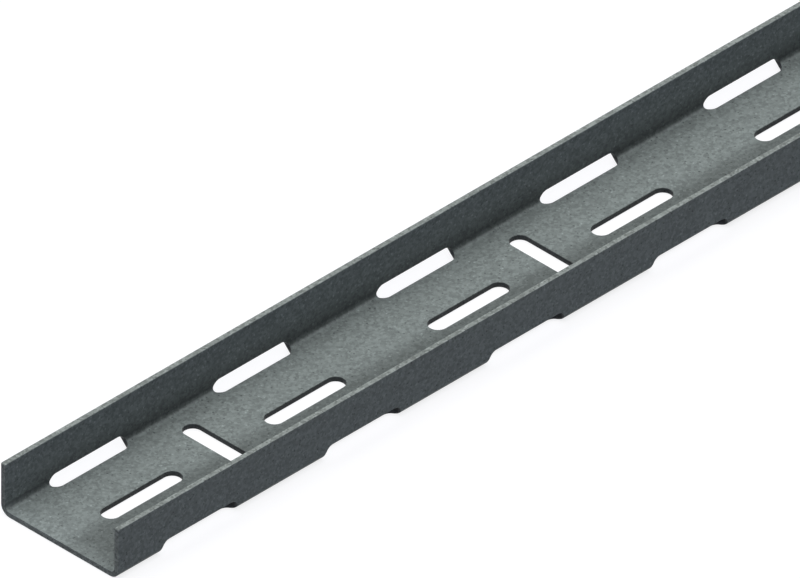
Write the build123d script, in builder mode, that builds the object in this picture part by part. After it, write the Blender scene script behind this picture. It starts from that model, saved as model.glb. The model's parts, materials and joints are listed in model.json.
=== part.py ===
from build123d import *
import os
from math import asin, cos, degrees, pi, sin

# A perforated cable tray: one strip of galvanised sheet, punched while it is flat and then
# folded up along both sides into a shallow U.
# +X runs along the tray, +Y across it and +Z up out of its floor. The origin is the middle
# of the underside. Sizes are in millimetres.

# The sheet and its two square bends
tray_length = 1500.0
inner_width = 50.0
tray_height = 20.0
sheet = 2.0
inner_bend_radius = 2.0
neutral_share = 0.5  # depth of the layer that a bend leaves unstretched, as a share of the sheet

# The punched slots, which have semicircular ends
slot_length = 35.0
slot_width = 7.0
station_pitch = 75.0  # each station has a slot along the floor and one along each bend
stations_per_cross_slot = 2

# How far a cutting shape runs past the faces of the sheet
overcut = 1.0

# Strips that a round end is cut in where it goes round half a bend
strips_per_half_bend = 2

# Worked out from those
bend_centre_y = inner_width / 2 - inner_bend_radius
bend_centre_z = sheet + inner_bend_radius
outer_bend_radius = inner_bend_radius + sheet
middle_bend_radius = inner_bend_radius + sheet / 2
neutral_radius = inner_bend_radius + neutral_share * sheet
bend_run = neutral_radius * pi / 2  # flat sheet that one bend takes up
middle_width = inner_width + sheet
slot_radius = slot_width / 2
slot_straight = slot_length - slot_width
station_count = int(tray_length // station_pitch)
cross_pitch = station_pitch * stations_per_cross_slot
cross_count = station_count // stations_per_cross_slot
first_station = -station_pitch * (station_count - 1) / 2
first_cross_slot = first_station + station_pitch / 2

os.makedirs("parts", exist_ok=True)


def bend_plane(run):
    """The plane square to the sheet of the bend at -Y, through the axis of the bend.

    run is measured round the bend, along its unstretched layer, from the middle of the bend
    towards the wall. The plane's x runs along the tray and its y outwards through the sheet.
    """
    middle = Plane(
        origin=(0, -bend_centre_y, bend_centre_z), x_dir=(1, 0, 0), z_dir=(0, 1, -1)
    )
    return middle.rotated((-degrees(run / neutral_radius), 0, 0))


# One slot along the bend at -Y. It was punched in the flat sheet with its centre line on the
# middle of the bend, so its long sides lie just past the bend, one on the floor and one on
# the wall, and its round ends wrap up around the bend.
half_wrap = asin(min(1.0, bend_run / slot_width))  # turn of a round end within half a bend

with BuildPart() as bend_slot:
    if slot_width > bend_run:
        with BuildSketch(Plane.XY.offset(-overcut)):
            with Locations((0, -bend_centre_y - bend_run / 2)):
                SlotOverall(slot_length, slot_width)
            with Locations((0, -bend_centre_y)):
                Rectangle(
                    slot_length,
                    slot_width,
                    align=(Align.CENTER, Align.MIN),
                    mode=Mode.INTERSECT,
                )
        extrude(amount=sheet + 2 * overcut)
        mirror(about=bend_plane(0))
    for edge in range(-strips_per_half_bend, strips_per_half_bend + 1):
        turn = half_wrap * edge / strips_per_half_bend
        with BuildSketch(bend_plane(slot_radius * sin(turn))):
            with Locations((0, inner_bend_radius / 2)):
                Rectangle(
                    slot_straight + 2 * slot_radius * cos(turn),
                    outer_bend_radius + overcut - inner_bend_radius / 2,
                    align=(Align.CENTER, Align.MIN),
                )
    loft(ruled=True)

with BuildPart() as bend_slots:
    with GridLocations(station_pitch, 0, station_count, 1):
        add(bend_slot.part)
    mirror(about=Plane.XZ)

# The folded tray
with BuildPart() as cable_tray:
    with BuildSketch(Plane.YZ):
        with BuildLine():
            FilletPolyline(
                (-middle_width / 2, tray_height),
                (-middle_width / 2, sheet / 2),
                (middle_width / 2, sheet / 2),
                (middle_width / 2, tray_height),
                radius=middle_bend_radius,
            )
        trace(line_width=sheet)
    extrude(amount=tray_length / 2, both=True)

    # Slots through the floor: one along the tray at each station, and the same slot turned
    # across the tray halfway between every second pair of stations
    with BuildSketch(Plane.XY.offset(-overcut)):
        with GridLocations(station_pitch, 0, station_count, 1):
            SlotOverall(slot_length, slot_width)
        with Locations([(first_cross_slot + cross_pitch * i, 0) for i in range(cross_count)]):
            SlotOverall(slot_length, slot_width, rotation=90)
    extrude(amount=sheet + 2 * overcut, mode=Mode.SUBTRACT)

    # Slots along both bends
    add(bend_slots.part, mode=Mode.SUBTRACT)

cable_tray.part.label = "cable_tray"
export_step(cable_tray.part, "parts/cable_tray.step")
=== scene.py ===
"""A perforated cable tray, folded from one strip of galvanised sheet, on a plain white floor.

The strip is laid out flat with its punched slots, and every point of it is then folded up round
the two bends, as the real tray is made. All lengths are in metres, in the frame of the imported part:
+X along the tray, +Y across it, +Z up, with the origin in the middle of its underside.
"""

import json
import logging
import math
from dataclasses import dataclass, field, replace
from enum import Enum

import bpy
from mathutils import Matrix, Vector


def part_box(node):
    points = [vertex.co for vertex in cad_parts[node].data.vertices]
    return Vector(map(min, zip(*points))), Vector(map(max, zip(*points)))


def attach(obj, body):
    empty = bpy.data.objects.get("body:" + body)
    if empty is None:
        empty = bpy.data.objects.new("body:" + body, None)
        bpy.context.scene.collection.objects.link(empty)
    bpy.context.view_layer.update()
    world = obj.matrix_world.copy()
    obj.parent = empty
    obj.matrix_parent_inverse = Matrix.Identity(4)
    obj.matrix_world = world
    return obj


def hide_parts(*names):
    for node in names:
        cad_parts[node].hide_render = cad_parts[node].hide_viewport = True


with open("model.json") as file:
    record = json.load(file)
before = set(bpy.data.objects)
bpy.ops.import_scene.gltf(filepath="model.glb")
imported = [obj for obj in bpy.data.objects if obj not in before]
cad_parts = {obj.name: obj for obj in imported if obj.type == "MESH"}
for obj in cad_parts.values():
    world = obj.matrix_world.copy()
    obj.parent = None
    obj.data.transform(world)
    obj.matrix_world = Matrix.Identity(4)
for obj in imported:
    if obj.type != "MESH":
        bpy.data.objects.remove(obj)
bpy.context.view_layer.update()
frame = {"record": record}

log = logging.getLogger("cable_tray")

MM = 0.001  # one millimetre
MICRON = MM / 1000
TRAY_NODE = "cable_tray"
RIM_MASK = "rim"  # point attribute: 1 on the rounded edge of a cut, 0 elsewhere
BLANK_MAP = "OFBake"  # the UV map, laid out as the flat blank

Pair = tuple[float, float]
Triple = tuple[float, float, float]
Colour = tuple[float, float, float, float]
Source = float | Triple | Colour | bpy.types.NodeSocket  # a value, or the socket that gives it

WHITE: Colour = (1.0, 1.0, 1.0, 1.0)
MIDDLE = 0.5  # of a texture's values, which run from 0 to 1
FACE_SLACK = 0.2 * MM  # how far past a face a mask on it ends, so that it takes in all of the face


class Side(Enum):
    """The two faces of the sheet, by where they come to lie in the folded tray."""

    INSIDE = 0
    OUTSIDE = 1


class Finish(Enum):
    """What a face of the tray wears, by its place among the mesh's materials."""

    ZINC = 0  # the rolled faces of the sheet and the rounded edges of its cuts
    SHEARED = 1  # the strip's own cut edges
    PUNCHED = 2  # the walls of the slots


class SlotWay(Enum):
    """Which way a slot runs on the blank."""

    ALONG_TRAY = 0
    ACROSS_TRAY = 1


class OuterLine(Enum):
    """What lies on the line where a quarter of a station of slots ends."""

    NEXT_STATION = 0
    CROSS_SLOT = 1  # a slot across the tray is centred on it, and the next station is past that
    TRAY_END = 2


def linear(red: float, green: float, blue: float) -> Colour:
    """Turns a screen colour into the light values that a shader takes.

    Args:
        red: Screen red, from 0 to 255.
        green: Screen green, from 0 to 255.
        blue: Screen blue, from 0 to 255.

    Returns:
        The same colour in linear light, with an alpha of 1.
    """

    def channel(value: float) -> float:
        """Linear light of one screen channel, by the sRGB curve."""
        share = value / 255
        return share / 12.92 if share <= 0.04045 else ((share + 0.055) / 1.055) ** 2.4

    return channel(red), channel(green), channel(blue), 1.0


def quarter_turn(steps: int) -> list[float]:
    """Angles from 0 to 90 degrees, in even steps."""
    return [math.pi / 2 * step / steps for step in range(steps + 1)]


def arc(along: float, across: float, radius: float, turns: list[float]) -> list[Pair]:
    """Points of an arc on the blank.

    Args:
        along: Place of its centre along the tray.
        across: Place of its centre across the blank.
        radius: Its radius.
        turns: Angle of each point.

    Returns:
        The points, in the order of the angles.
    """
    return [(along + radius * math.cos(turn), across + radius * math.sin(turn)) for turn in turns]


@dataclass(frozen=True)
class FoldedSection:
    """The U section of the tray, which says where each point of the flat blank ends up.

    A point of the blank has a place along the tray, a place across the blank measured from its
    middle round the unstretched layer, and a depth from the face that becomes the inside.
    """

    width: float
    height: float
    sheet: float = 2 * MM
    inner_radius: float = 2 * MM

    @property
    def inner_half(self) -> float:
        """Half the width between the inner faces of the two walls."""
        return self.width / 2 - self.sheet

    @property
    def floor_half(self) -> float:
        """Half the width of the flat floor, up to where the bends start."""
        return self.inner_half - self.inner_radius

    @property
    def fold_top(self) -> float:
        """Height where the bends end and the flat walls start."""
        return self.sheet + self.inner_radius

    @property
    def unstretched_radius(self) -> float:
        """Radius of the layer that keeps its length in the bend."""
        return self.inner_radius + self.sheet / 2

    @property
    def bend_run(self) -> float:
        """Length of blank that one square bend takes up."""
        return self.unstretched_radius * math.pi / 2

    @property
    def bend_end(self) -> float:
        """Place across the blank where a bend ends and a wall starts."""
        return self.floor_half + self.bend_run

    @property
    def bend_middle(self) -> float:
        """Place across the blank of the middle of a bend."""
        return self.floor_half + self.bend_run / 2

    @property
    def blank_half(self) -> float:
        """Half the width of the flat blank, up to the top edge of a wall."""
        return self.bend_end + self.height - self.fold_top

    def turn(self, across: float) -> float:
        """Angle that the sheet has turned through at a place across the blank.

        Args:
            across: Place across the blank.

        Returns:
            The angle in radians, positive towards +Y and negative towards -Y.
        """
        past_floor = min(max(abs(across) - self.floor_half, 0.0), self.bend_run)
        return math.copysign(past_floor / self.unstretched_radius, across)

    def place(self, along: float, across: float, depth: float) -> Triple:
        """Place in the folded tray of a point of the blank.

        Args:
            along: Place along the tray.
            across: Place across the blank.
            depth: Depth from the face that becomes the inside.

        Returns:
            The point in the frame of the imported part.
        """
        if abs(across) <= self.floor_half:
            return along, across, self.sheet - depth
        turn = self.turn(across)
        radius = self.inner_radius + depth
        centre_y = math.copysign(self.floor_half, across)
        up_wall = max(abs(across) - self.bend_end, 0.0)
        return (
            along,
            centre_y + radius * math.sin(turn),
            self.fold_top - radius * math.cos(turn) + up_wall,
        )

    def facing(self, across: float, lean: Triple) -> Triple:
        """Turns a direction on the blank with the sheet.

        Args:
            across: Place across the blank.
            lean: The direction's parts along the tray, across the blank and out of the inside face.

        Returns:
            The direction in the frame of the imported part.
        """
        turn = self.turn(across)
        along, sideways, outwards = lean
        return (
            along,
            sideways * math.cos(turn) - outwards * math.sin(turn),
            sideways * math.sin(turn) + outwards * math.cos(turn),
        )


@dataclass(frozen=True)
class RimStep:
    """One line round a cut, from the inside face down to the outside face of the sheet."""

    inset: float  # from the cut's wall into the metal
    depth: float  # from the inside face
    out: float  # part of the surface's direction that points out of the metal
    up: float  # part that points out of the inside face
    run: float  # way over the surface from the nearer face, or from the inside face if halfway
    rounded: bool  # lies on a rounded edge


@dataclass(frozen=True)
class CutRim:
    """The edge that a punch leaves: rolled over on the side it enters, nearly sharp where it leaves."""

    sheet: float
    reach: float = 0.12 * MM  # how far the rounding reaches into the metal
    rolled_depth: float = 0.2 * MM
    burr_depth: float = 0.08 * MM
    steps_per_edge: int = 3

    @property
    def middle(self) -> int:
        """Number of the line halfway through the sheet."""
        return self.steps_per_edge + 1

    def rounded_edge(self, depth: float) -> list[RimStep]:
        """The lines over one rounded edge, from the open sheet to the cut's wall.

        Args:
            depth: How deep the rounding goes.

        Returns:
            The lines as they are on the inside face.
        """
        steps = []
        run = 0.0
        before = (self.reach, 0.0)
        for number, turn in enumerate(quarter_turn(self.steps_per_edge)):
            here = (self.reach * (1 - math.sin(turn)), depth * (1 - math.cos(turn)))
            run += math.dist(before, here)
            out, up = math.sin(turn) * depth, math.cos(turn) * self.reach
            length = math.hypot(out, up)
            steps.append(RimStep(*here, out / length, up / length, run, rounded=number > 0))
            before = here
        return steps

    def steps(self) -> list[RimStep]:
        """The lines round a cut.

        Returns:
            The lines, in order from the inside face to the outside face.
        """
        rolled = self.rounded_edge(self.rolled_depth)
        middle = self.sheet / 2
        run_down = rolled[-1].run + middle - self.rolled_depth
        halfway = RimStep(0.0, middle, 1.0, 0.0, run_down, rounded=False)
        burr = [
            replace(step, depth=self.sheet - step.depth, up=-step.up)
            for step in reversed(self.rounded_edge(self.burr_depth))
        ]
        return [*rolled, halfway, *burr]


@dataclass(frozen=True)
class CutPoint:
    """A point on the wall of a cut, with the direction out of the metal there."""

    along: float
    across: float
    out_along: float
    out_across: float

    def inset(self, distance: float) -> Pair:
        """The point moved into the metal, away from the cut."""
        return self.along - distance * self.out_along, self.across - distance * self.out_across


@dataclass(frozen=True)
class SlotPunch:
    """The punch for one slot with semicircular ends."""

    length: float
    radius: float
    steps_per_quarter: int = 12

    @property
    def half_straight(self) -> float:
        """Half the length of a slot's straight side."""
        return self.length / 2 - self.radius

    def plain_turns(self) -> list[float]:
        """Angles of the points round one end, from one long side to the other."""
        quarter = quarter_turn(self.steps_per_quarter)
        return [-turn for turn in reversed(quarter[1:])] + quarter

    def outline(self, turns: list[float], along: float, across: float, way: SlotWay) -> list[CutPoint]:
        """The slot's outline, with the metal on its left seen from the inside face.

        Args:
            turns: Angles of the points round one end, from -90 to 90 degrees.
            along: Place of the slot's centre along the tray.
            across: Place of its centre across the blank.
            way: Which way the slot runs.

        Returns:
            The points of the closed outline, in order.
        """
        aims = [(self.half_straight, turn) for turn in turns] + [(0.0, math.pi / 2)]
        aims += [(-centre, math.pi + turn) for centre, turn in aims]
        points = []
        for centre, aim in aims:
            outwards = (math.cos(aim), math.sin(aim))
            spot = (centre + self.radius * outwards[0], self.radius * outwards[1])
            if way is SlotWay.ACROSS_TRAY:
                outwards = (-outwards[1], outwards[0])
                spot = (-spot[1], spot[0])
            points.append(CutPoint(along + spot[0], across + spot[1], -outwards[0], -outwards[1]))
        return points[::-1]


@dataclass
class BlankMesh:
    """Collects the faces of the flat blank, and folds them as they are added."""

    section: FoldedSection
    length: float
    module_length: float  # length of blank in one tile of the UV map
    tile_gap: float = 3 * MM
    tile_columns: int = 4
    same_point: float = MICRON / 10  # size of the grid whose steps tell one point from the next
    grid_shift: float = 0.37  # moves the borders of those steps away from round sizes
    vertices: list[Triple] = field(default_factory=list)
    normals: list[Triple] = field(default_factory=list)
    rims: list[float] = field(default_factory=list)
    faces: list[list[int]] = field(default_factory=list)
    corners: list[Pair] = field(default_factory=list)
    finishes: list[int] = field(default_factory=list)
    known: dict[tuple[int, ...], int] = field(default_factory=dict)

    @property
    def modules(self) -> int:
        """Number of modules along the tray."""
        return round(self.length / self.module_length)

    def vertex(self, spot: Pair, depth: float, lean: Triple, rim: float) -> int:
        """Adds a point of the blank, unless it is there already.

        Args:
            spot: Its places along the tray and across the blank.
            depth: Its depth from the inside face.
            lean: The way that the surface faces there, on the blank.
            rim: 1 on a rounded edge and 0 elsewhere.

        Returns:
            The number of the vertex.
        """
        key = tuple(round(part / self.same_point + self.grid_shift) for part in (*spot, depth))
        if key not in self.known:
            self.known[key] = len(self.vertices)
            self.vertices.append(self.section.place(*spot, depth))
            self.normals.append(self.section.facing(spot[1], lean))
            self.rims.append(rim)
        return self.known[key]

    def map_place(self, spot: Pair, side: Side, module: int) -> Pair:
        """Place on the UV map of a point of the blank.

        Args:
            spot: Its places along the tray and across the blank, on the map's layout.
            side: Face of the sheet whose tile it goes to.
            module: Number of the module along the tray that its face is in.

        Returns:
            Its two UV coordinates.
        """
        tile = side.value * self.modules + module
        rows = math.ceil(len(Side) * self.modules / self.tile_columns)
        tile_height = 2 * self.section.blank_half + self.tile_gap
        tile_width = self.module_length + self.tile_gap
        start = -self.length / 2 + module * self.module_length
        in_tile = spot[0] - start + self.tile_gap / 2
        mirrored = spot[1] if side is Side.INSIDE else -spot[1]
        up_tile = mirrored + tile_height / 2
        return (
            (tile % self.tile_columns + in_tile / tile_width) / self.tile_columns,
            (tile // self.tile_columns + up_tile / tile_height) / rows,
        )

    def module_at(self, along: float) -> int:
        """Number of the module that a place along the tray is in."""
        number = int((along + self.length / 2) / self.module_length)
        return min(max(number, 0), self.modules - 1)

    def add_face(self, numbers: list[int], layout: list[Pair], side: Side, finish: Finish) -> None:
        """Adds one face.

        Args:
            numbers: Its vertices, in order.
            layout: Where each lies on the flat layout of the map.
            side: Face of the sheet whose tile it goes to.
            finish: What it wears.
        """
        module = self.module_at(sum(spot[0] for spot in layout) / len(layout))
        self.faces.append(numbers)
        self.corners += [self.map_place(spot, side, module) for spot in layout]
        self.finishes.append(finish.value)

    def add_sheet(self, outline: list[Pair]) -> None:
        """Adds a patch of open sheet to both faces.

        Args:
            outline: The patch's points on the blank, counter-clockwise seen from the inside face.
        """
        for side, depth, up in ((Side.INSIDE, 0.0, 1.0), (Side.OUTSIDE, self.section.sheet, -1.0)):
            points = outline if side is Side.INSIDE else outline[::-1]
            numbers = [self.vertex(spot, depth, (0.0, 0.0, up), 0.0) for spot in points]
            self.add_face(numbers, points, side, Finish.ZINC)

    def add_ring(self, outline: list[CutPoint], step: RimStep) -> list[int]:
        """Adds the points of one line round a cut.

        Args:
            outline: Points on the cut's wall.
            step: The line's place and direction through the sheet.

        Returns:
            The numbers of the vertices, in the outline's order.
        """
        numbers = []
        for point in outline:
            lean = (point.out_along * step.out, point.out_across * step.out, step.up)
            spot = point.inset(step.inset)
            numbers.append(self.vertex(spot, step.depth, lean, float(step.rounded)))
        return numbers

    def add_cut(self, outline: list[CutPoint], rim: CutRim, finish: Finish) -> None:
        """Adds the wall and rounded edges of one cut.

        Args:
            outline: Points on the cut's wall, with the metal on the left.
            rim: The shape of the cut's edge through the sheet.
            finish: What the cut's wall wears.
        """
        steps = rim.steps()
        rings = [self.add_ring(outline, step) for step in steps]
        for upper in range(len(steps) - 1):
            lower = upper + 1
            side = Side.INSIDE if upper < rim.middle else Side.OUTSIDE
            is_wall = steps[upper].inset == steps[lower].inset
            for here in range(len(outline)):
                after = (here + 1) % len(outline)
                around = ((here, upper), (here, lower), (after, lower), (after, upper))
                self.add_face(
                    [rings[ring][point] for point, ring in around],
                    [outline[point].inset(rim.reach - steps[ring].run) for point, ring in around],
                    side,
                    finish if is_wall else Finish.ZINC,
                )

    def build(self, name: str) -> bpy.types.Object:
        """Makes the folded tray's object from all that was added.

        Args:
            name: The object's name.

        Returns:
            The object, linked into the scene.
        """
        mesh = bpy.data.meshes.new(name)
        mesh.from_pydata(self.vertices, [], self.faces)
        layer = mesh.uv_layers.new(name=BLANK_MAP)
        layer.uv.foreach_set("vector", [value for corner in self.corners for value in corner])
        mesh.polygons.foreach_set("material_index", self.finishes)
        mesh.attributes.new(RIM_MASK, "FLOAT", "POINT").data.foreach_set("value", self.rims)
        mesh.shade_smooth()
        mesh.normals_split_custom_set_from_vertices(self.normals)
        mesh.update()
        tray = bpy.data.objects.new(name, mesh)
        bpy.context.scene.collection.objects.link(tray)
        return tray


@dataclass(frozen=True)
class FoldedTray:
    """The tray itself: its slots, laid out on the blank, and the sheet between them."""

    length: float
    section: FoldedSection
    punch: SlotPunch
    pitch: float  # from one station of slots to the next
    gaps_per_cross_slot: int = 2  # gaps between stations to each slot across the tray
    corner_radius: float = 0.5 * MM
    steps_per_bend: int = 10
    steps_per_corner: int = 4

    @property
    def rim(self) -> CutRim:
        """The shape of every cut's edge through the sheet."""
        return CutRim(self.section.sheet)

    @property
    def hole(self) -> float:
        """Radius round a slot's end where the open sheet starts."""
        return self.punch.radius + self.rim.reach

    @property
    def top(self) -> float:
        """Place across the blank where the open sheet stops, beside a wall's top edge."""
        return self.section.blank_half - self.rim.reach

    @property
    def stations(self) -> list[float]:
        """Places along the tray of its stations of slots."""
        count = round(self.length / self.pitch)
        return [-self.pitch * (count - 1) / 2 + number * self.pitch for number in range(count)]

    @property
    def folds(self) -> list[float]:
        """Places across the blank of the lines that a bend is folded in."""
        start, run = self.section.floor_half, self.section.bend_run
        return [start + run * step / self.steps_per_bend for step in range(self.steps_per_bend + 1)]

    def bend_turns(self) -> list[float]:
        """Angles round the end of a slot in a bend, with one on each line that the bend is folded in.

        Returns:
            The angles, from one long side to the other.
        """
        on_folds = [math.asin((fold - self.section.bend_middle) / self.hole) for fold in self.folds]
        past_folds = math.pi / 2 - on_folds[-1]
        steps = round(self.punch.steps_per_quarter * (1 - on_folds[-1] / (math.pi / 2)))
        rest = [on_folds[-1] + past_folds * step / steps for step in range(1, steps + 1)]
        return [-turn for turn in reversed(rest)] + on_folds + rest

    def outer_line(self, station: int, way: int) -> OuterLine:
        """What lies on the line where a quarter of a station ends.

        Args:
            station: Number of the station, from the -X end of the tray.
            way: 1 for a quarter on its +X side and -1 for one on its -X side.

        Returns:
            The kind of line.
        """
        gap = station if way > 0 else station - 1
        if gap not in range(len(self.stations) - 1):
            return OuterLine.TRAY_END
        return OuterLine.NEXT_STATION if gap % self.gaps_per_cross_slot else OuterLine.CROSS_SLOT

    def quarter_patches(self, line: OuterLine) -> list[list[Pair]]:
        """The open sheet in a quarter of one station, between its slots and its outer line.

        Args:
            line: What lies on the quarter's outer line.

        Returns:
            The outline of each patch, counter-clockwise, measured from the station's middle.
        """
        straight, hole, middle = self.punch.half_straight, self.hole, self.section.bend_middle
        folds, top, edge = self.folds, self.top, self.pitch / 2
        plain, bend = quarter_turn(self.punch.steps_per_quarter), self.bend_turns()
        first_fold = (len(bend) - len(folds)) // 2  # number of the turn that lies on the first fold
        last_fold = first_fold + self.steps_per_bend
        floor_slot = arc(straight, 0.0, hole, plain[::-1])
        bend_slot = arc(straight, middle, hole, bend)
        cross_slot, top_corner = [], [(edge, top)]
        if line is OuterLine.CROSS_SLOT:
            cross_slot = arc(edge, straight, hole, [math.pi - turn for turn in plain])
        elif line is OuterLine.TRAY_END:
            edge -= self.rim.reach
            inset = self.corner_radius - self.rim.reach
            top_corner = arc(edge - inset, top - inset, inset, quarter_turn(self.steps_per_corner))
        floor_edge = edge - hole if cross_slot else edge
        patches = [
            [(0.0, hole), (straight, hole), (straight, middle - hole), (0.0, middle - hole)],
            [
                *floor_slot,
                (floor_edge, 0.0),
                *cross_slot,
                (edge, folds[0]),
                *reversed(bend_slot[: first_fold + 1]),
            ],
            [
                bend_slot[last_fold],
                (edge, folds[-1]),
                *top_corner,
                (straight, top),
                *reversed(bend_slot[last_fold + 1 :]),
            ],
            [(0.0, middle + hole), (straight, middle + hole), (straight, top), (0.0, top)],
        ]
        for step, (low, high) in enumerate(zip(folds, folds[1:]), start=first_fold):
            patches.append([bend_slot[step], (edge, low), (edge, high), bend_slot[step + 1]])
        return patches

    def corner(self, end: int, wall: int, start: float) -> list[CutPoint]:
        """Points round one corner of the blank, between the two where its arc starts and ends.

        Args:
            end: 1 at the +X end of the tray and -1 at the -X end.
            wall: 1 at the +Y wall and -1 at the -Y wall.
            start: Angle where the arc starts.

        Returns:
            The points, counter-clockwise.
        """
        along = end * (self.length / 2 - self.corner_radius)
        across = wall * (self.section.blank_half - self.corner_radius)
        turns = [start + turn for turn in quarter_turn(self.steps_per_corner)[1:-1]]
        spots = arc(along, across, self.corner_radius, turns)
        return [CutPoint(*spot, math.cos(turn), math.sin(turn)) for spot, turn in zip(spots, turns)]

    def end_outline(self) -> list[CutPoint]:
        """The blank's own outline: its two cut ends and the top edges of its two walls.

        Returns:
            The points, counter-clockwise seen from the inside face.
        """
        half_length, half_blank = self.length / 2, self.section.blank_half
        straight, stations = self.punch.half_straight, self.stations
        half_end = [*self.folds, half_blank - self.corner_radius]
        cut_end = [-across for across in reversed(half_end)] + [0.0] + half_end
        top_edge = [self.corner_radius - half_length]
        for station in stations:
            top_edge += [station - straight, station, station + straight, station + self.pitch / 2]
        top_edge[-1] = half_length - self.corner_radius  # where the corner starts, not the cut end
        top_edge.reverse()
        points = []
        for way, start in ((1, 0.0), (-1, math.pi)):
            points += [CutPoint(way * half_length, way * across, way, 0.0) for across in cut_end]
            points += self.corner(way, way, start)
            points += [CutPoint(way * along, way * half_blank, 0.0, way) for along in top_edge]
            points += self.corner(-way, way, start + math.pi / 2)
        return points

    def add_open_sheet(self, blank: BlankMesh) -> None:
        """Adds the sheet between the slots, a quarter of a station at a time.

        Args:
            blank: The mesh that it is added to.
        """
        for number, middle in enumerate(self.stations):
            for way in (1, -1):
                for outline in self.quarter_patches(self.outer_line(number, way)):
                    for wall in (1, -1):
                        patch = [(middle + way * along, wall * across) for along, across in outline]
                        blank.add_sheet(patch if way == wall else patch[::-1])

    def add_slots(self, blank: BlankMesh) -> int:
        """Adds the walls and edges of all the slots.

        Args:
            blank: The mesh that they are added to.

        Returns:
            How many slots there are.
        """
        count = 0
        plain, bend = self.punch.plain_turns(), self.bend_turns()
        for number, middle in enumerate(self.stations):
            spots = [(middle, 0.0, plain, SlotWay.ALONG_TRAY)]
            for wall in (1, -1):
                spots.append((middle, wall * self.section.bend_middle, bend, SlotWay.ALONG_TRAY))
            if self.outer_line(number, 1) is OuterLine.CROSS_SLOT:
                spots.append((middle + self.pitch / 2, 0.0, plain, SlotWay.ACROSS_TRAY))
            for along, across, turns, way in spots:
                outline = self.punch.outline(turns, along, across, way)
                blank.add_cut(outline, self.rim, Finish.PUNCHED)
            count += len(spots)
        return count

    def build(self, name: str) -> bpy.types.Object:
        """Makes the tray's object.

        Args:
            name: The object's name.

        Returns:
            The object, with no materials yet.
        """
        blank = BlankMesh(self.section, self.length, self.gaps_per_cross_slot * self.pitch)
        self.add_open_sheet(blank)
        slots = self.add_slots(blank)
        blank.add_cut(self.end_outline(), self.rim, Finish.SHEARED)
        tray = blank.build(name)
        log.info("%s: %d slots, %d faces", name, slots, len(tray.data.polygons))
        return tray


class NodeTree:
    """A small helper that adds nodes to a tree and joins them."""

    def __init__(self, tree: bpy.types.NodeTree) -> None:
        """Keeps the tree, emptied of its nodes."""
        self.tree = tree
        tree.nodes.clear()

    def add(
        self, kind: str, settings: dict[str, object] | None = None, **inputs: Source
    ) -> bpy.types.Node:
        """Adds one node.

        Args:
            kind: The node's type.
            settings: Properties to set on the node.
            **inputs: Values or output sockets for its inputs. An underscore stands for a space,
                and in_0, in_1 and so on name an input by its number.

        Returns:
            The node.
        """
        node = self.tree.nodes.new(kind)
        for name, value in (settings or {}).items():
            setattr(node, name, value)
        for name, value in inputs.items():
            key = int(name[3:]) if name.startswith("in_") else name.replace("_", " ")
            socket = node.inputs[key]
            if isinstance(value, bpy.types.NodeSocket):
                self.tree.links.new(value, socket)
            else:
                socket.default_value = value
        return node

    def effect(
        self, group: bpy.types.NodeTree, place: bpy.types.NodeSocket, **values: float
    ) -> bpy.types.Node:
        """Adds a node that places a shared effect, with this material's own values."""
        return self.add("ShaderNodeGroup", {"node_tree": group}, Vector=place, **values)

    def math(self, operation: str, *values: Source) -> bpy.types.NodeSocket:
        """Adds a Math node and returns its output."""
        inputs = {f"in_{number}": value for number, value in enumerate(values)}
        return self.add("ShaderNodeMath", {"operation": operation}, **inputs).outputs[0]

    def vector_math(self, operation: str, *values: Source, **scale: Source) -> bpy.types.NodeSocket:
        """Adds a Vector Math node and returns its output."""
        inputs = {f"in_{number}": value for number, value in enumerate(values)} | scale
        return self.add("ShaderNodeVectorMath", {"operation": operation}, **inputs).outputs[0]

    def map_range(
        self, value: Source, low: Source, high: Source, to: tuple[Source, Source] = (0.0, 1.0)
    ) -> bpy.types.NodeSocket:
        """Adds a clamped, eased Map Range node.

        Args:
            value: The value that is mapped.
            low: Value that becomes the first result.
            high: Value that becomes the second result.
            to: The two results.

        Returns:
            The mapped value.
        """
        node = self.add(
            "ShaderNodeMapRange",
            {"interpolation_type": "SMOOTHSTEP"},
            Value=value,
            From_Min=low,
            From_Max=high,
            To_Min=to[0],
            To_Max=to[1],
        )
        return node.outputs[0]


class EffectGroup(NodeTree):
    """A shared effect as a node group: a place and sizes go in, and masks or values come out."""

    def __init__(self, name: str, sizes: dict[str, float], results: tuple[str, ...] = ("Mask",)) -> None:
        """Makes the group with its named sockets.

        Args:
            name: The group's name.
            sizes: Name and usual value of each number that goes in.
            results: Names of what comes out.
        """
        super().__init__(bpy.data.node_groups.new(name, "ShaderNodeTree"))
        sockets = self.tree.interface
        sockets.new_socket("Vector", in_out="INPUT", socket_type="NodeSocketVector")
        for size, value in sizes.items():
            made = sockets.new_socket(size, in_out="INPUT", socket_type="NodeSocketFloat")
            made.default_value = value
        for result in results:
            sockets.new_socket(result, in_out="OUTPUT", socket_type="NodeSocketFloat")
        self.inlet = self.add("NodeGroupInput")
        self.outlet = self.add("NodeGroupOutput")

    def given(self, name: str) -> bpy.types.NodeSocket:
        """What goes in under a name."""
        return self.inlet.outputs[name]

    def put_out(self, value: bpy.types.NodeSocket, result: str = "Mask") -> None:
        """Joins a value to one of the group's results."""
        self.tree.links.new(value, self.outlet.inputs[result])


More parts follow.
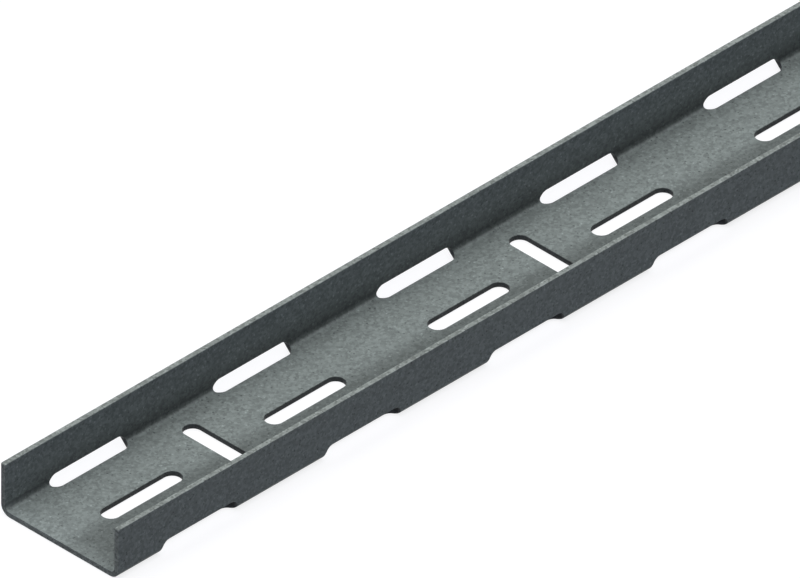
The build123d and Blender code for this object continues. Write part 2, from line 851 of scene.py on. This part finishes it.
class ChannelMask(EffectGroup):
    """A shared mask on the inside faces of the tray alone, laid out by the tray's own sizes."""

    def __init__(
        self, name: str, sizes: dict[str, float], section: FoldedSection, length: float
    ) -> None:
        """Makes the group, with the surface's place split into its parts.

        Args:
            name: The group's name.
            sizes: Name and usual value of each number that goes in.
            section: The folded section, which says where the folds are.
            length: Length of the tray, which says where its cut ends are.
        """
        super().__init__(name, sizes)
        self.section = section
        self.length = length
        place = self.add("ShaderNodeSeparateXYZ", Vector=self.given("Vector")).outputs
        self.along, self.across, self.height = place["X"], place["Y"], place["Z"]

    def end_share(self, share: Source, reach: Source) -> bpy.types.NodeSocket:
        """Adds nodes that weaken an effect towards the tray's two cut ends.

        Args:
            share: What is left of the effect at a cut end.
            reach: How far from the end it has its full strength.

        Returns:
            The share of the effect that is left.
        """
        endways = self.math("ABSOLUTE", self.along)
        from_end = self.math("SUBTRACT", self.length / 2, endways)
        return self.map_range(from_end, 0.0, reach, (share, 1.0))

    def put_out_inside(self, mask: bpy.types.NodeSocket) -> None:
        """Joins a mask to the group's result, on the inside faces alone.

        Args:
            mask: The mask, over all of the tray.
        """
        sideways = self.math("ABSOLUTE", self.across)
        between = self.math("LESS_THAN", sideways, self.section.inner_half + FACE_SLACK)
        above = self.math("GREATER_THAN", self.height, self.section.sheet / 2)
        inside = self.math("MULTIPLY", between, above)
        self.put_out(self.math("MULTIPLY", mask, inside))


class SurfaceGroups:
    """The effects that all three of the tray's materials use, each built once as a node group."""

    def __init__(self, section: FoldedSection, length: float) -> None:
        """Builds the groups.

        Args:
            section: The folded section, which says where the folds are.
            length: Length of the tray, which says where its cut ends are.
        """
        self.section = section
        self.length = length
        self.mottle = self.build_mottle()
        self.specks = self.build_specks()
        # The next three groups are painted shade and painted light, not marks of the zinc.
        self.fold_dulling = self.build_fold_dulling()
        self.side_painted_shade = self.build_side_painted_shade()
        self.end_painted_light = self.build_end_painted_light()
        self.worn_rim = self.build_worn_rim()

    def build_mottle(self) -> bpy.types.NodeTree:
        """The crystals of the zinc: small patches of slightly different tone, and a finer grain.

        Returns:
            The node group. Each finish gives its two contrasts.
        """
        border_drift = 0.9 * MM  # how far the crystals' borders stray from straight ones
        border_softness = 0.35
        grains_per_crystal = 2.4
        grain_relief = 0.5  # beside the crystals' own relief
        group = EffectGroup(
            "zinc_mottle",
            {"Crystal Size": 0.9 * MM, "Crystal Contrast": 0.0, "Grain Contrast": 0.0},
            ("Tone", "Facet", "Height"),
        )
        place = group.given("Vector")
        per_crystal = group.math("DIVIDE", 1.0, group.given("Crystal Size"))
        drift = group.add("ShaderNodeTexNoise", Vector=place, Scale=per_crystal, Detail=1.0)
        centred = group.vector_math("SUBTRACT", drift.outputs["Color"], (MIDDLE, MIDDLE, MIDDLE))
        strayed = group.vector_math(
            "MULTIPLY_ADD", centred, (border_drift, border_drift, border_drift), place
        )
        crystals = group.add(
            "ShaderNodeTexVoronoi",
            {"feature": "SMOOTH_F1"},
            Vector=strayed,
            Scale=per_crystal,
            Smoothness=border_softness,
        )
        facet = group.add("ShaderNodeSeparateColor", Color=crystals.outputs["Color"]).outputs["Red"]
        grain = group.add(
            "ShaderNodeTexNoise",
            Vector=place,
            Scale=group.math("MULTIPLY", per_crystal, grains_per_crystal),
            Detail=2.0,
            Roughness=0.6,
        ).outputs[0]
        tone = 1.0
        for value, contrast in ((facet, "Crystal Contrast"), (grain, "Grain Contrast")):
            from_middle = group.math("SUBTRACT", value, MIDDLE)
            swing = group.math("MULTIPLY", from_middle, 2.0)  # from -1 to 1
            tone = group.math("MULTIPLY_ADD", swing, group.given(contrast), tone)
        group.put_out(tone, "Tone")
        group.put_out(facet, "Facet")
        group.put_out(group.math("MULTIPLY_ADD", grain, grain_relief, facet), "Height")
        return group.tree

    def build_specks(self) -> bpy.types.NodeTree:
        """Small dark pits and light flecks, scattered over the zinc.

        Returns:
            The node group.
        """
        full_strength = 0.7  # share of the way in to a speck's middle
        group = EffectGroup(
            "zinc_specks",
            {"Spacing": 1.8 * MM, "Speck Radius": 0.5 * MM, "Share": 0.3},
            ("Pits", "Flecks"),
        )
        per_spacing = group.math("DIVIDE", 1.0, group.given("Spacing"))
        spots = group.add("ShaderNodeTexVoronoi", Vector=group.given("Vector"), Scale=per_spacing)
        chance = group.add("ShaderNodeSeparateColor", Color=spots.outputs["Color"]).outputs["Green"]
        reach = group.math("MULTIPLY", group.given("Speck Radius"), per_spacing)
        nearness = group.math("SUBTRACT", 1.0, group.math("DIVIDE", spots.outputs["Distance"], reach))
        soft = group.map_range(nearness, 0.0, full_strength)
        above_share = group.math("SUBTRACT", 1.0, group.given("Share"))
        for name, operation, limit in (
            ("Pits", "LESS_THAN", group.given("Share")),
            ("Flecks", "GREATER_THAN", above_share),
        ):
            chosen = group.math(operation, chance, limit)
            group.put_out(group.math("MULTIPLY", soft, chosen), name)
        return group.tree

    def build_fold_dulling(self) -> bpy.types.NodeTree:
        """Painted shade up the inside of each fold and over the foot of the wall above it.

        Returns:
            The node group.
        """
        section = self.section
        sizes = {
            "Fade": 13 * MM,  # height of wall over which it fades
            "Fall": 1.7,  # how fast it fades at first, where 1 is evenly
            "Floor Share": 0.2,  # what there is of it on the floor beside the fold
            "Floor Reach": 10 * MM,
            "End Share": 0.2,
            "End Reach": 20 * MM,
            "Crease Height": 1.5 * MM,  # above the fold, for the part that lasts up to the ends
            "Crease End Share": 0.7,
            "Crease End Reach": 10 * MM,
        }
        group = ChannelMask("fold_dulling", sizes, section, self.length)
        rise = group.map_range(group.height, section.sheet, section.sheet + section.inner_radius / 2)
        above = group.math("SUBTRACT", group.height, section.fold_top)
        left = group.math("SUBTRACT", 1.0, group.math("DIVIDE", above, group.given("Fade")))
        fall = group.math("POWER", group.math("MAXIMUM", left, 0.0), group.given("Fall"))
        up_wall = group.math("MINIMUM", rise, fall)
        sideways = group.math("ABSOLUTE", group.across)
        from_wall = group.math("SUBTRACT", section.inner_half, sideways)
        over_floor = group.map_range(
            from_wall, 0.0, group.given("Floor Reach"), (group.given("Floor Share"), 0.0)
        )
        open_end = group.end_share(group.given("End Share"), group.given("End Reach"))
        soft = group.math("MULTIPLY", group.math("MAXIMUM", up_wall, over_floor), open_end)
        crease_top = group.math("ADD", section.fold_top, group.given("Crease Height"))
        below = group.map_range(group.height, section.fold_top, crease_top, (1.0, 0.0))
        crease = group.math("MULTIPLY", rise, below)
        crease_end = group.end_share(
            group.given("Crease End Share"), group.given("Crease End Reach")
        )
        soft = group.math("MAXIMUM", soft, group.math("MULTIPLY", crease, crease_end))
        group.put_out_inside(soft)
        return group.tree

    def build_side_painted_shade(self) -> bpy.types.NodeTree:
        """Painted shade: a darker band that runs along the floor on its -Y side, fading towards the
        middle.

        Returns:
            The node group.
        """
        sizes = {
            "Full Width": 19 * MM,
            "Faded Width": 28 * MM,
            "End Share": 0.45,
            "End Reach": 9 * MM,
        }
        group = ChannelMask("side_painted_shade", sizes, self.section, self.length)
        from_wall = group.math("ADD", group.across, self.section.inner_half)
        full, faded = group.given("Full Width"), group.given("Faded Width")
        soft = group.map_range(from_wall, full, faded, (1.0, 0.0))
        open_end = group.end_share(group.given("End Share"), group.given("End Reach"))
        group.put_out_inside(group.math("MULTIPLY", soft, open_end))
        return group.tree

    def build_end_painted_light(self) -> bpy.types.NodeTree:
        """Painted light: the floor made a little brighter towards the two cut ends, where the walls'
        shade is lifted.

        Returns:
            The node group.
        """
        group = ChannelMask("end_painted_light", {"Reach": 16 * MM}, self.section, self.length)
        past_end = group.end_share(0.0, group.given("Reach"))
        on_floor = group.math("LESS_THAN", group.height, self.section.sheet + FACE_SLACK)
        near_end = group.math("SUBTRACT", 1.0, past_end)
        group.put_out_inside(group.math("MULTIPLY", near_end, on_floor))
        return group.tree

    def build_worn_rim(self) -> bpy.types.NodeTree:
        """Zinc rubbed bright on the rounded edges of the cuts, in broken stretches.

        Returns:
            The node group.
        """
        untouched, rubbed = 0.35, 0.7  # levels of a noise between which the rubbing sets in
        group = EffectGroup("worn_rim", {"Stretch": 4 * MM})
        rim = group.add("ShaderNodeAttribute", {"attribute_name": RIM_MASK}).outputs["Fac"]
        broken = group.add(
            "ShaderNodeTexNoise",
            Vector=group.given("Vector"),
            Scale=group.math("DIVIDE", 1.0, group.given("Stretch")),
            Detail=2.0,
        ).outputs[0]
        group.put_out(group.math("MULTIPLY", rim, group.map_range(broken, untouched, rubbed)))
        return group.tree


@dataclass(frozen=True)
class ZincFinish:
    """Galvanised steel, weathered to a matt grey green, or the grey steel where it was cut."""

    name: str
    colour: Colour
    crystal_contrast: float = 0.24
    grain_contrast: float = 0.2
    pit_depth: float = 0.5  # share of the zinc's tone that a pit takes away
    fleck_gain: float = 0.42  # share that a fleck adds
    # depth of the painted shade in the folds and over the foot of the walls
    fold_shade_depth: float = 0.585
    # depth of the painted shade along the floor's -Y side
    side_shade_depth: float = 0.42
    # gain of the painted light on the floor towards the ends
    end_gain: float = 0.13
    rim_gain: float = 0.12
    roughness: float = 0.55
    roughness_swing: float = 0.16  # from the smoothest crystal to the roughest
    gloss: float = 0.12
    relief: float = 0.014 * MM
    metallic_swing: float = 0.06

    def build(self, groups: SurfaceGroups) -> bpy.types.Material:
        """Makes the material.

        Args:
            groups: The shared surface effects.

        Returns:
            The material.
        """
        material = bpy.data.materials.new(self.name)
        material.use_nodes = True
        nodes = NodeTree(material.node_tree)
        place = nodes.add("ShaderNodeTexCoord").outputs["Object"]
        mottle = nodes.effect(
            groups.mottle,
            place,
            Crystal_Contrast=self.crystal_contrast,
            Grain_Contrast=self.grain_contrast,
        )
        facet = mottle.outputs["Facet"]
        specks = nodes.effect(groups.specks, place)
        tone = mottle.outputs["Tone"]
        # The fold, side and end masks are painted shade and painted light; the pits, flecks and rubbed
        # rims are the zinc's own marks.
        for mask, depth in (
            (specks.outputs["Pits"], -self.pit_depth),
            (specks.outputs["Flecks"], self.fleck_gain),
            (nodes.effect(groups.fold_dulling, place).outputs["Mask"], -self.fold_shade_depth),
            (nodes.effect(groups.side_painted_shade, place).outputs["Mask"], -self.side_shade_depth),
            (nodes.effect(groups.end_painted_light, place).outputs["Mask"], self.end_gain),
            (nodes.effect(groups.worn_rim, place).outputs["Mask"], self.rim_gain),
        ):
            tone = nodes.math("MULTIPLY", tone, nodes.math("MULTIPLY_ADD", mask, depth, 1.0))
        smoothest = self.roughness - self.roughness_swing / 2
        bump = nodes.add(
            "ShaderNodeBump", Strength=1.0, Distance=self.relief, Height=mottle.outputs["Height"]
        )
        shader = nodes.add(
            "ShaderNodeBsdfPrincipled",
            Base_Color=nodes.vector_math("SCALE", self.colour[:3], Scale=tone),
            Metallic=nodes.math("MULTIPLY", facet, self.metallic_swing),
            Roughness=nodes.math("MULTIPLY_ADD", facet, self.roughness_swing, smoothest),
            Specular_IOR_Level=self.gloss,
            Normal=bump.outputs[0],
        )
        nodes.add("ShaderNodeOutputMaterial", Surface=shader.outputs[0])
        return material


@dataclass(frozen=True)
class StudioLamp:
    """One far lamp, straight over or under the tray."""

    name: str
    strength: float  # light on a surface that faces the lamp, in watts per square metre
    width: float  # angle that the lamp fills, seen from the tray
    turn: float = 0.0  # 0 shines down, and half a turn shines up
    colour: Triple = (1.0, 1.0, 1.0)

    def build(self) -> bpy.types.Object:
        """Makes the lamp.

        Returns:
            The lamp, linked into the scene.
        """
        light = bpy.data.lights.new(self.name, "SUN")
        light.energy = self.strength
        light.color = self.colour
        light.angle = self.width
        lamp = bpy.data.objects.new(self.name, light)
        lamp.rotation_euler = (self.turn, 0.0, 0.0)
        bpy.context.scene.collection.objects.link(lamp)
        return lamp


@dataclass(frozen=True)
class Studio:
    """The plain white floor, the soft light overhead and the pale surroundings."""

    floor_half: float = 30.0
    floor_glow: float = 0.8  # what the floor shows where no light reaches it
    floor_tone: float = 0.26  # what full light adds to that
    floor_bounce: float = 0.055  # light that the floor throws back on the tray
    floor_drop: float = 0.05 * MM  # keeps the floor's face apart from the tray's underside
    overhead_lamp: StudioLamp = StudioLamp(
        "overhead_lamp", strength=math.pi * 0.93, width=math.radians(90)
    )
    underside_lamp: StudioLamp = StudioLamp(
        "underside_lamp",
        strength=math.pi * 0.1,
        width=math.radians(10),
        turn=math.pi,
        colour=(0.72, 0.88, 1.0),
    )
    sky: Colour = (0.02, 0.035, 0.15, 1.0)

    @staticmethod
    def seen_directly(nodes: NodeTree) -> bpy.types.NodeSocket:
        """Adds nodes that tell what the eye sees from scattered light.

        Args:
            nodes: The helper on the material's or the surroundings' tree.

        Returns:
            1 for what is seen straight, in a gloss or through glass, and 0 for scattered light.
        """
        path = nodes.add("ShaderNodeLightPath").outputs
        seen = nodes.math("MAXIMUM", path["Is Camera Ray"], path["Is Glossy Ray"])
        return nodes.math("MAXIMUM", seen, path["Is Transmission Ray"])

    def build_floor_finish(self) -> bpy.types.Material:
        """Makes the floor's white, which keeps a faint shadow of the tray and is clear from below.

        Returns:
            The material.
        """
        material = bpy.data.materials.new("white_floor")
        material.use_nodes = True
        nodes = NodeTree(material.node_tree)
        tone = self.floor_tone
        glow = nodes.add("ShaderNodeEmission", Color=WHITE, Strength=self.floor_glow)
        lit = nodes.add("ShaderNodeBsdfDiffuse", Color=(tone, tone, tone, 1.0))
        shown = nodes.add("ShaderNodeAddShader", in_0=glow.outputs[0], in_1=lit.outputs[0])
        thrown_back = nodes.add("ShaderNodeEmission", Color=WHITE, Strength=self.floor_bounce)
        above = nodes.add(
            "ShaderNodeMixShader",
            Fac=self.seen_directly(nodes),
            in_1=thrown_back.outputs[0],
            in_2=shown.outputs[0],
        )
        seen_through = nodes.add("ShaderNodeBsdfTransparent")
        from_below = nodes.add("ShaderNodeNewGeometry").outputs["Backfacing"]
        to_lamp = nodes.add("ShaderNodeLightPath").outputs["Is Shadow Ray"]
        mixed = nodes.add(
            "ShaderNodeMixShader",
            Fac=nodes.math("MAXIMUM", from_below, to_lamp),
            in_1=above.outputs[0],
            in_2=seen_through.outputs[0],
        )
        nodes.add("ShaderNodeOutputMaterial", Surface=mixed.outputs[0])
        return material

    def build_floor(self) -> bpy.types.Object:
        """Makes the floor under the tray.

        Returns:
            The floor, linked into the scene.
        """
        half, low = self.floor_half, -self.floor_drop
        corners = [(-half, -half, low), (half, -half, low), (half, half, low), (-half, half, low)]
        mesh = bpy.data.meshes.new("studio_floor")
        mesh.from_pydata(corners, [], [(0, 1, 2, 3)])
        mesh.materials.append(self.build_floor_finish())
        floor = bpy.data.objects.new("studio_floor", mesh)
        bpy.context.scene.collection.objects.link(floor)
        return floor

    def build_surroundings(self) -> bpy.types.World:
        """Makes the surroundings: white to the eye, and a faint cool light from all round.

        Returns:
            The scene's world.
        """
        world = bpy.data.worlds.new("pale_surroundings")
        world.use_nodes = True
        nodes = NodeTree(world.node_tree)
        light = nodes.add("ShaderNodeBackground", Color=self.sky, Strength=1.0)
        white = nodes.add("ShaderNodeBackground", Color=WHITE, Strength=1.0)
        mixed = nodes.add(
            "ShaderNodeMixShader",
            Fac=self.seen_directly(nodes),
            in_1=light.outputs[0],
            in_2=white.outputs[0],
        )
        nodes.add("ShaderNodeOutputWorld", Surface=mixed.outputs[0])
        bpy.context.scene.world = world
        return world

    def build(self) -> None:
        """Makes the floor, the lamps and the surroundings, and sets plain screen colours."""
        self.build_floor()
        self.overhead_lamp.build()
        self.underside_lamp.build()
        self.build_surroundings()
        bpy.context.scene.view_settings.view_transform = "Standard"


@dataclass(frozen=True)
class PhotoCamera:
    """The photograph's parallel view, down on the near end of the tray."""

    length: float
    width: float
    from_end: float = 180.5 * MM  # of the point in the middle of the picture, from the near end
    from_far_wall: float = 2.57 * MM  # of that point, from the far wall's outer face
    picture_width: float = 259.5 * MM
    distance: float = 2.0
    nearest_shown: float = 0.01
    farthest_shown: float = 100.0

    def build(self) -> bpy.types.Object:
        """Makes the camera.

        Returns:
            The camera, which is the scene's own.
        """
        target = Vector(
            (self.from_end - self.length / 2, self.width / 2 - self.from_far_wall, 0.0)
        )
        back = Vector((-1.0, -1.0, 1.0)).normalized()
        data = bpy.data.cameras.new("camera")
        data.type = "ORTHO"
        data.ortho_scale = self.picture_width
        data.clip_start = self.nearest_shown
        data.clip_end = self.farthest_shown
        camera = bpy.data.objects.new("camera", data)
        camera.location = target + back * self.distance
        camera.rotation_mode = "QUATERNION"
        camera.rotation_quaternion = (-back).to_track_quat("-Z", "Y")
        bpy.context.scene.collection.objects.link(camera)
        bpy.context.scene.camera = camera
        return camera


def main() -> None:
    """Builds the tray, dresses it, and sets up the studio and the camera."""
    logging.basicConfig(level=logging.INFO, format="%(name)s: %(message)s")
    low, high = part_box(TRAY_NODE)
    size = high - low
    slots = next(
        mount["dims"] for mount in frame["record"]["mounts"] if mount["kind"] == "bolt_pattern"
    )
    section = FoldedSection(width=size.y, height=size.z)
    punch = SlotPunch(slots["slot_length_mm"] * MM, slots["hole_r_mm"] * MM)
    tray = FoldedTray(size.x, section, punch, pitch=slots["spacing_x_mm"] * MM).build("folded_tray")
    groups = SurfaceGroups(section, size.x)
    finishes = {
        Finish.ZINC: ZincFinish("galvanised_zinc", linear(125, 132.3, 126.2)),
        Finish.SHEARED: ZincFinish("sheared_edge", linear(134, 140, 131.5), crystal_contrast=0.35),
        # The slot walls are darker than the zinc: partly the bare punched steel, partly painted shade
        # inside the slots.
        Finish.PUNCHED: ZincFinish("punched_wall", linear(82.5, 86, 84), gloss=0.1),
    }
    for finish in Finish:
        tray.data.materials.append(finishes[finish].build(groups))
        log.info("%s: finish ready", finishes[finish].name)
    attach(tray, "root")
    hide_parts(TRAY_NODE)
    Studio().build()
    PhotoCamera(size.x, size.y).build()
    log.info("studio and camera ready")
    log.info("size file written")


if __name__ == "__main__":
    main()
